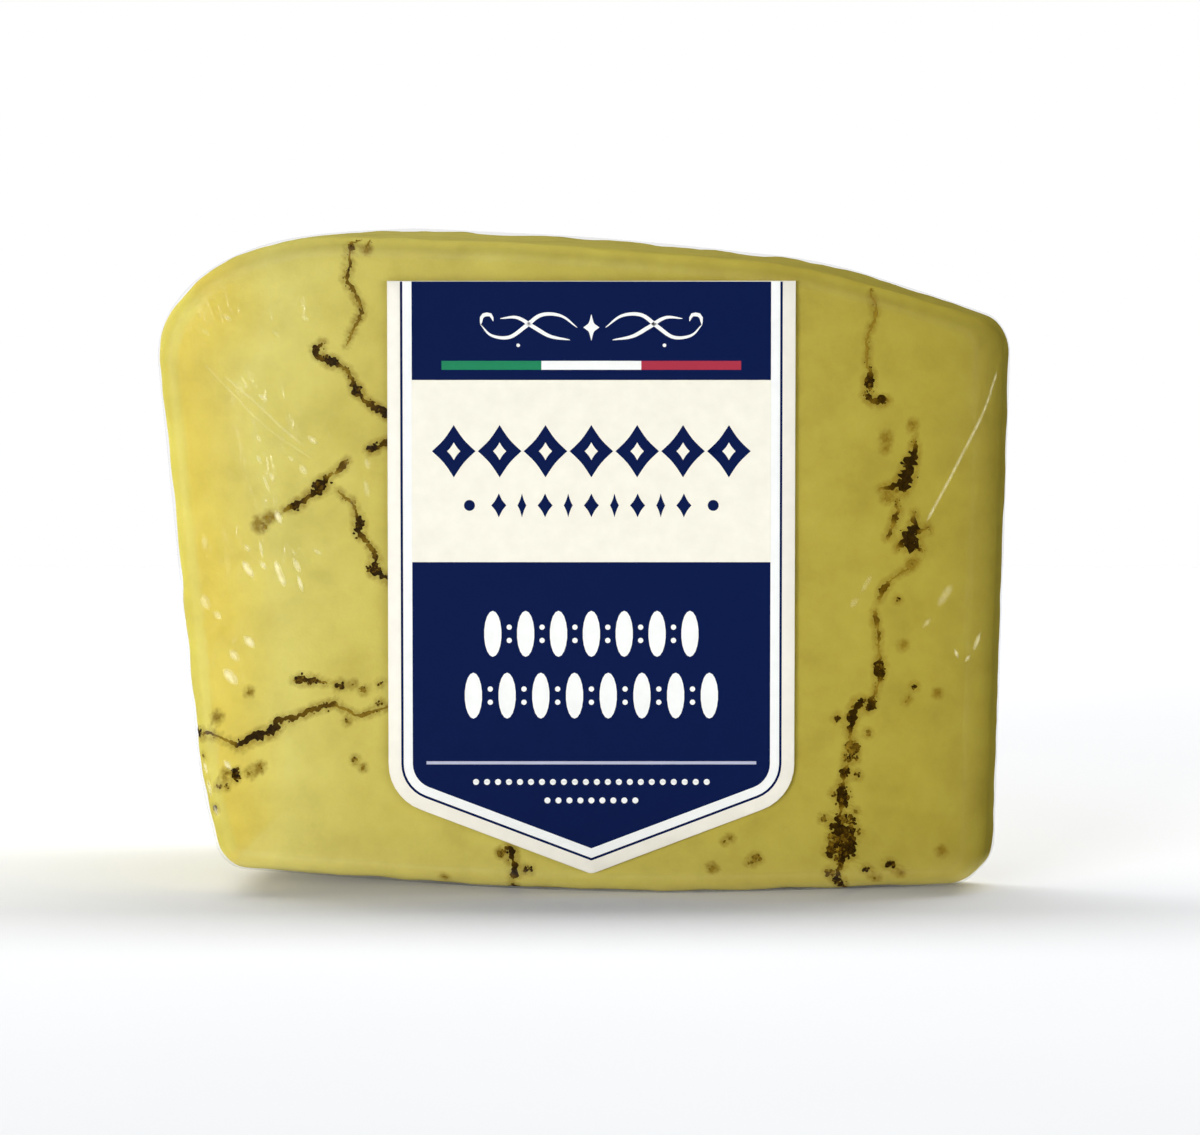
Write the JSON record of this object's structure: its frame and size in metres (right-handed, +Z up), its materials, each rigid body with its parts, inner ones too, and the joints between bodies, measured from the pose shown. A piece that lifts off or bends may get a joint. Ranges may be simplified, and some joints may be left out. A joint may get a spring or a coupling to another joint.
{
  "type": "film-wrapped cheese wedge",
  "caption": "Wedge of truffle pecorino cheese in tight clear film, with a shield-shaped paper label on its front cut face.",
  "frame": {"origin": "on the ground, under the middle of the bounding box", "axes": "+X from the rind end to the tip along the front cut face, +Y from the front cut face to the back one, +Z up"},
  "size_m": [0.0964, 0.048, 0.0746],
  "materials": {
    "wrapped_cheese": "pale yellow cheese under clear glossy film",
    "label_paper": "satin coated paper, printed in navy blue"
  },
  "bodies": {
    "root": {"wrapped_wedge": "wrapped_cheese", "label": "label_paper"}
  },
  "joints": []
}
